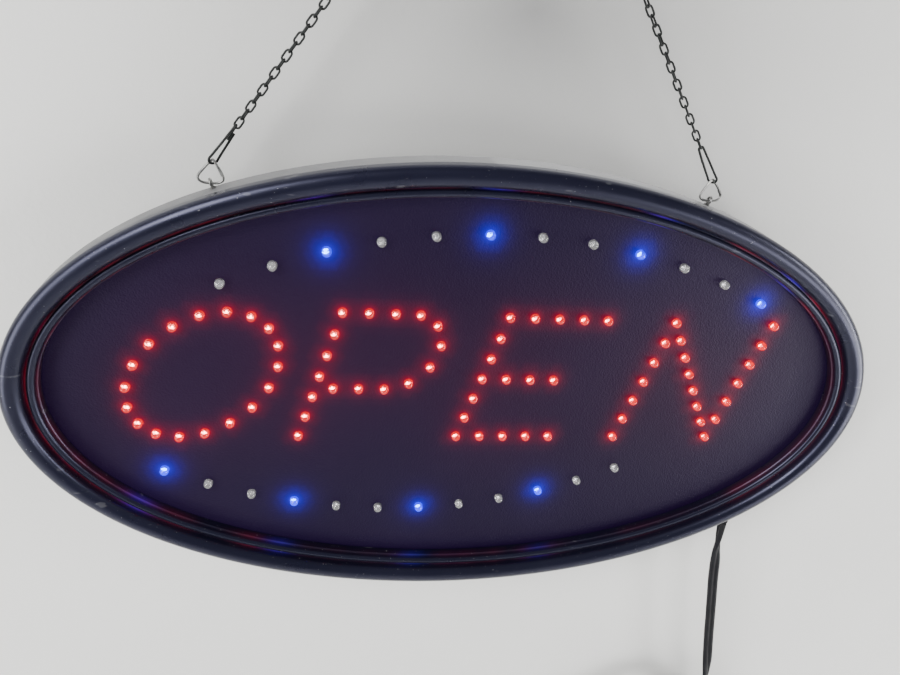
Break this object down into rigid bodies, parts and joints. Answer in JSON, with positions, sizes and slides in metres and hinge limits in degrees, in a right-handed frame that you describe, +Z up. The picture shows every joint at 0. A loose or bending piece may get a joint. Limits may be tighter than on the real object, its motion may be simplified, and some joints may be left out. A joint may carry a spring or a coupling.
{
  "type": "lighted window sign",
  "caption": "Oval lighted OPEN sign with diode letters in a black frame on a pale housing, hung from a nail by a V of light chain, with a flat mains lead.",
  "frame": {"origin": "inside top of the hanging ring, where it rests on the nail", "axes": "+X to the reader's right along the oval, +Y from the lit face towards the wall, +Z up"},
  "size_m": [0.4898, 0.0378, 0.7259],
  "materials": {
    "bezel": "satin",
    "panel": "satin",
    "housing": "satin",
    "red_lamps": "gloss",
    "blue_lamps": "gloss",
    "steel_wire": "satin",
    "screws": "satin",
    "black_chain": "satin",
    "core": "satin",
    "winding": "satin",
    "board": "satin",
    "component": "matte",
    "terminals": "satin",
    "fuse_glass": "gloss",
    "inner_wires": "satin",
    "switch_plastic": "satin",
    "cord_jacket": "satin",
    "tie": "matte",
    "plug_plastic": "satin",
    "blades": "satin"
  },
  "bodies": {
    "ring": {"hanging_ring": "black_chain"},
    "yoke": {"top_link_left": "black_chain", "top_link_right": "black_chain"},
    "chains": {"chain_left": "black_chain", "chain_right": "black_chain", "connector_left": "black_chain", "connector_right": "black_chain", "drop_ring_left": "steel_wire", "drop_ring_right": "steel_wire"},
    "sign": {"screw_eye_left": "steel_wire", "screw_eye_right": "steel_wire", "front_frame": "bezel", "face_panel": "panel", "rear_shell": "housing", "leds_letter_o": "red_lamps", "leds_letter_p": "red_lamps", "leds_letter_e": "red_lamps", "leds_letter_n": "red_lamps", "leds_border_top": "blue_lamps", "leds_border_bottom": "blue_lamps", "shell_screw_1": "screws", "shell_screw_2": "screws", "shell_screw_3": "screws", "shell_screw_4": "screws", "shell_screw_5": "screws", "shell_screw_6": "screws", "shell_screw_7": "screws", "shell_screw_8": "screws", "power_box": "housing", "box_screw_1": "screws", "box_screw_2": "screws", "box_screw_3": "screws", "box_screw_4": "screws", "control_board": "board", "transformer_core": "core", "transformer_winding": "winding", "filter_capacitor": "component", "bridge_rectifier": "component", "controller_chip": "component", "fuse": "fuse_glass", "terminal_block": "terminals", "lamp_harness": "inner_wires", "mains_feed": "inner_wires", "switch_feed": "inner_wires", "mode_feed": "inner_wires", "power_switch": "switch_plastic", "mode_switch": "switch_plastic", "strain_relief": "cord_jacket", "mains_cord": "cord_jacket", "cord_coil": "cord_jacket", "cord_tail": "cord_jacket", "cord_tie": "tie", "plug_body": "plug_plastic", "plug_blade_left": "blades", "plug_blade_right": "blades"},
    "power_rocker": {"power_rocker": "switch_plastic"},
    "mode_rocker": {"mode_rocker": "switch_plastic"}
  },
  "joints": [
    {"name": "side_swing", "type": "hinge", "parent": "ring", "child": "yoke", "pos_m": [0, 0, -0.005], "axis": [0, 1, 0], "range_deg": [-12, 12]},
    {"name": "out_swing", "type": "hinge", "parent": "yoke", "child": "chains", "pos_m": [0.00004, 0, -0.01386], "axis": [-1, 0, -0.0049], "range_deg": [0, 40]},
    {"name": "face_tilt", "type": "hinge", "parent": "chains", "child": "sign", "pos_m": [-0.00108, 0, -0.19583], "axis": [-0.9996, 0, -0.0269], "range_deg": [0, 60]},
    {"name": "power_rocker_press", "type": "hinge", "parent": "sign", "child": "power_rocker", "pos_m": [0.03893, -0.0004, -0.44347], "axis": [0, -1, 0], "range_deg": [0, 18]},
    {"name": "mode_rocker_press", "type": "hinge", "parent": "sign", "child": "mode_rocker", "pos_m": [-0.00098, -0.0004, -0.44439], "axis": [0, -1, 0], "range_deg": [0, 18]}
  ]
}
